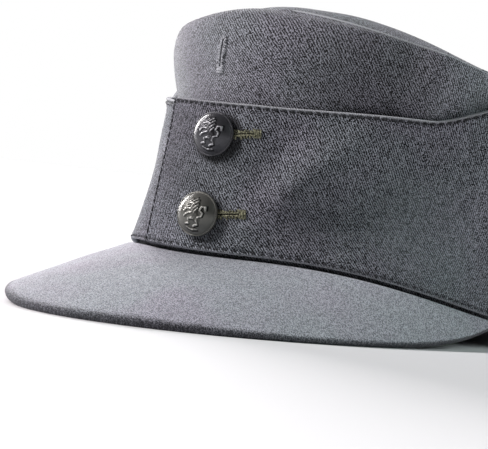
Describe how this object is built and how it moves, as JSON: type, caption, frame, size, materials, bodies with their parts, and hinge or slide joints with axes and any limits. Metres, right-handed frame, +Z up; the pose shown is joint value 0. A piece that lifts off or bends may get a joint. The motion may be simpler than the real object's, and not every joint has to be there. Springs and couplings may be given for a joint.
{
  "type": "field cap",
  "caption": "Wool field cap with a tall round crown, a fold-up flap buttoned in front with two domed metal buttons, and a stiffened cloth peak.",
  "frame": {"origin": "middle of the cap's outline from above, on the floor that it rests on", "axes": "+X towards the wearer's left, -Y towards the front, where the peak is, +Z up; the cap lies as it rests by itself, tipped back by about 4.3 degrees from the way it is worn"},
  "size_m": [0.176, 0.2768, 0.1174],
  "materials": {
    "crown_cloth": "grey wool twill, matt",
    "flap_cloth": "grey wool twill, matt, topstitched along its edges",
    "peak_cloth": "grey milled wool, matt, over a stiff core",
    "button_metal": "blue-grey paint, satin, worn on the relief",
    "button_metal_worn": "olive-grey paint, satin, worn on the relief"
  },
  "bodies": {
    "root": {"crown_side": "crown_cloth", "crown_top": "crown_cloth", "flap_left": "flap_cloth", "flap_right": "flap_cloth", "peak": "peak_cloth", "button_upper": "button_metal", "button_lower": "button_metal_worn"}
  },
  "joints": []
}
